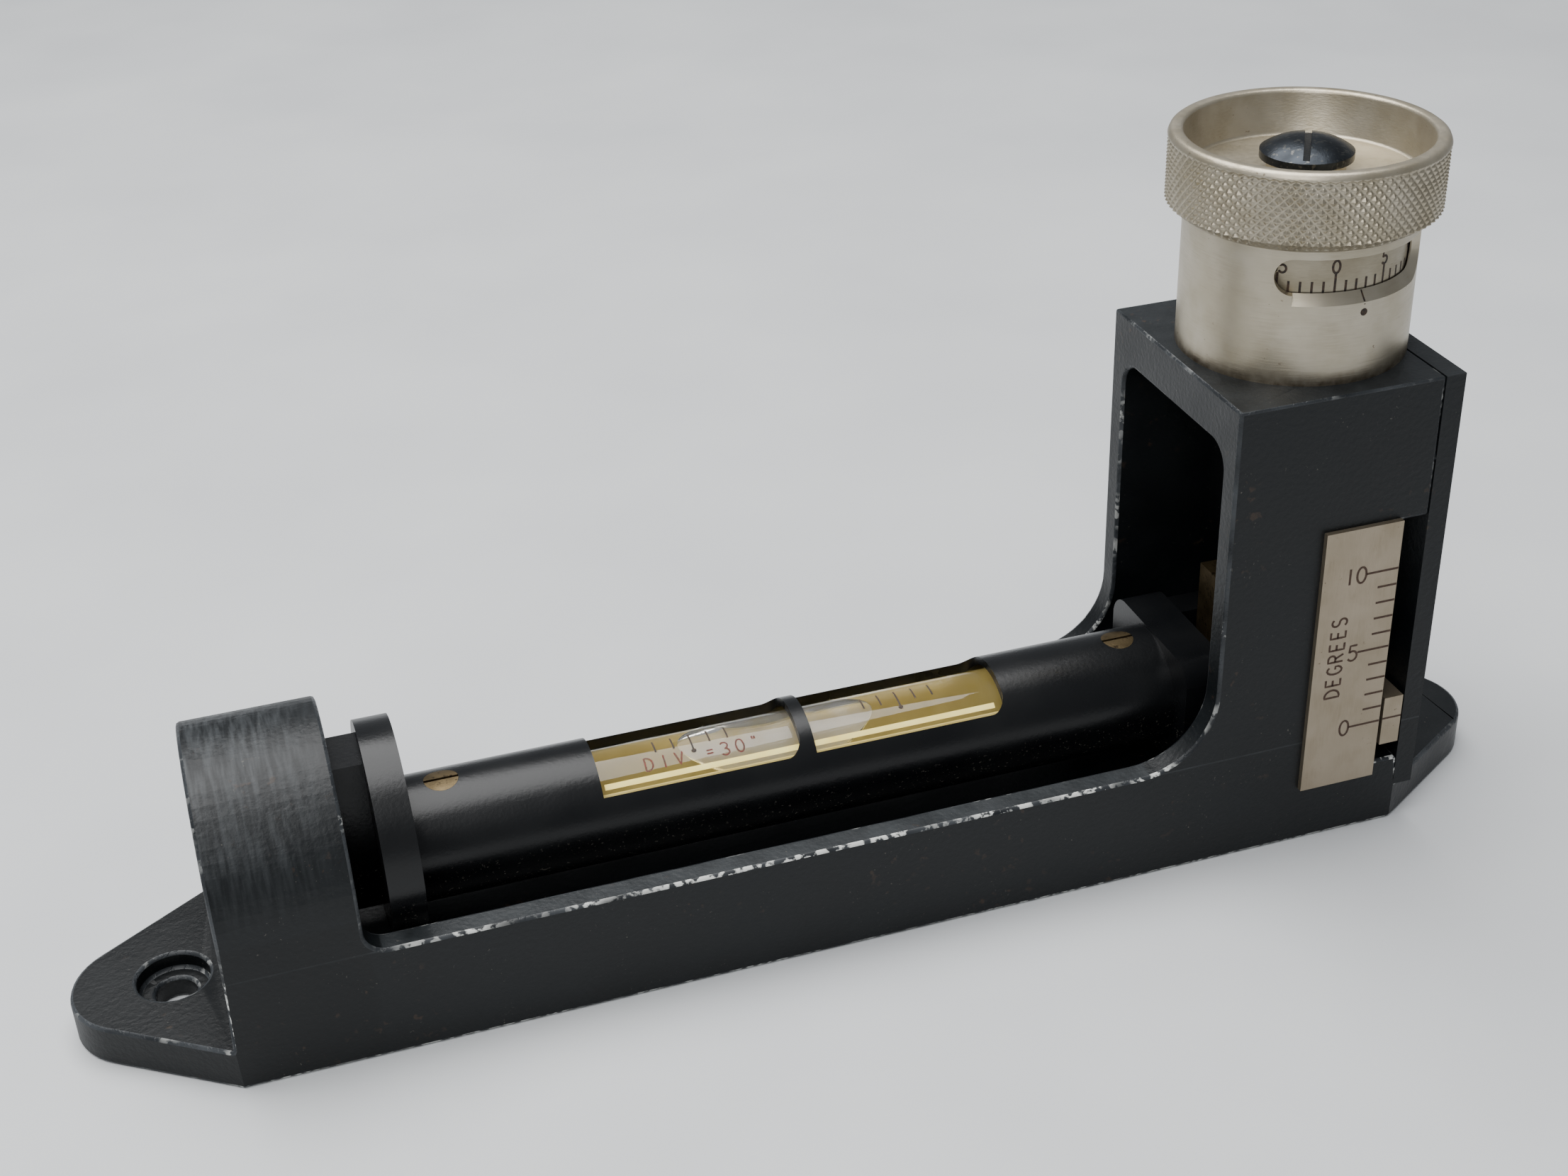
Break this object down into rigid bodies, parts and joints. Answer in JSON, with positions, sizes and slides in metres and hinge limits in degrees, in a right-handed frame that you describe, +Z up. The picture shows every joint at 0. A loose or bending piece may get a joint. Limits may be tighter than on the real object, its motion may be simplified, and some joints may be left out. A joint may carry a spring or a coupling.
{
  "type": "inclinometer",
  "caption": "Micrometer inclinometer: a spirit level in a black tube pivots in a cast frame and is tilted by a graduated drum and lead screw on a tower.",
  "frame": {"origin": "on the flat underside, midway between the two fixing holes", "axes": "+X from the pivot post to the micrometer tower, +Y to the back (away from the degree scale), +Z up"},
  "size_m": [0.2105, 0.0382, 0.1022],
  "materials": {
    "black_enamel": "satin",
    "black_tube_enamel": "semi-gloss",
    "nickel_silver": "satin",
    "blackened_steel": "satin",
    "steel": "satin",
    "brass": "satin",
    "bronze": "satin",
    "vial_glass": "clear",
    "spirit": "clear",
    "gold_lacquer": "bright",
    "packing": "matte"
  },
  "bodies": {
    "frame": {"base_frame": "black_enamel", "tower_cover": "black_enamel", "cover_screws": "blackened_steel", "scale_plate": "nickel_silver", "pivot_pin": "steel", "upper_bush": "bronze", "foot_bush": "bronze", "micrometer_sleeve": "nickel_silver", "sleeve_screws": "blackened_steel", "thrust_washer": "bronze"},
    "micrometer": {"lead_screw": "steel", "lock_ring": "steel", "graduated_drum": "nickel_silver", "hub_pin": "steel", "drive_pins": "steel", "grip_knob": "nickel_silver", "knob_washer": "steel", "knob_screw": "blackened_steel"},
    "nut": {"drive_nut": "brass", "trunnion_pins": "steel", "index_bracket": "brass", "bracket_screws": "steel", "index_pointer": "nickel_silver"},
    "level": {"end_flange": "black_tube_enamel", "pivot_bush": "bronze", "level_tube": "black_tube_enamel", "tube_screws": "brass", "fork_block": "black_tube_enamel", "vial_glass": "vial_glass", "spirit_fill": "spirit", "vial_packings": "packing", "reflector_liner": "gold_lacquer"}
  },
  "joints": [
    {"name": "drum_turn", "type": "hinge", "parent": "frame", "child": "micrometer", "pos_m": [0.07075, 0, 0.0722], "axis": [0, 0, -1], "range_deg": [0, 3600]},
    {"name": "nut_rise", "type": "slide", "parent": "frame", "child": "nut", "axis": [0, 0, 1], "range_m": [0, 0.02545]},
    {"name": "level_tilt", "type": "hinge", "parent": "frame", "child": "level", "pos_m": [-0.07475, 0, 0.02], "axis": [0, -1, 0], "range_deg": [0, 10.01]}
  ],
  "couplings": [
    {"joint": "nut_rise", "follows": "drum_turn", "m_per_rad": 0.00040425},
    {"joint": "level_tilt", "follows": "drum_turn", "ratio": 0.0027777}
  ]
}
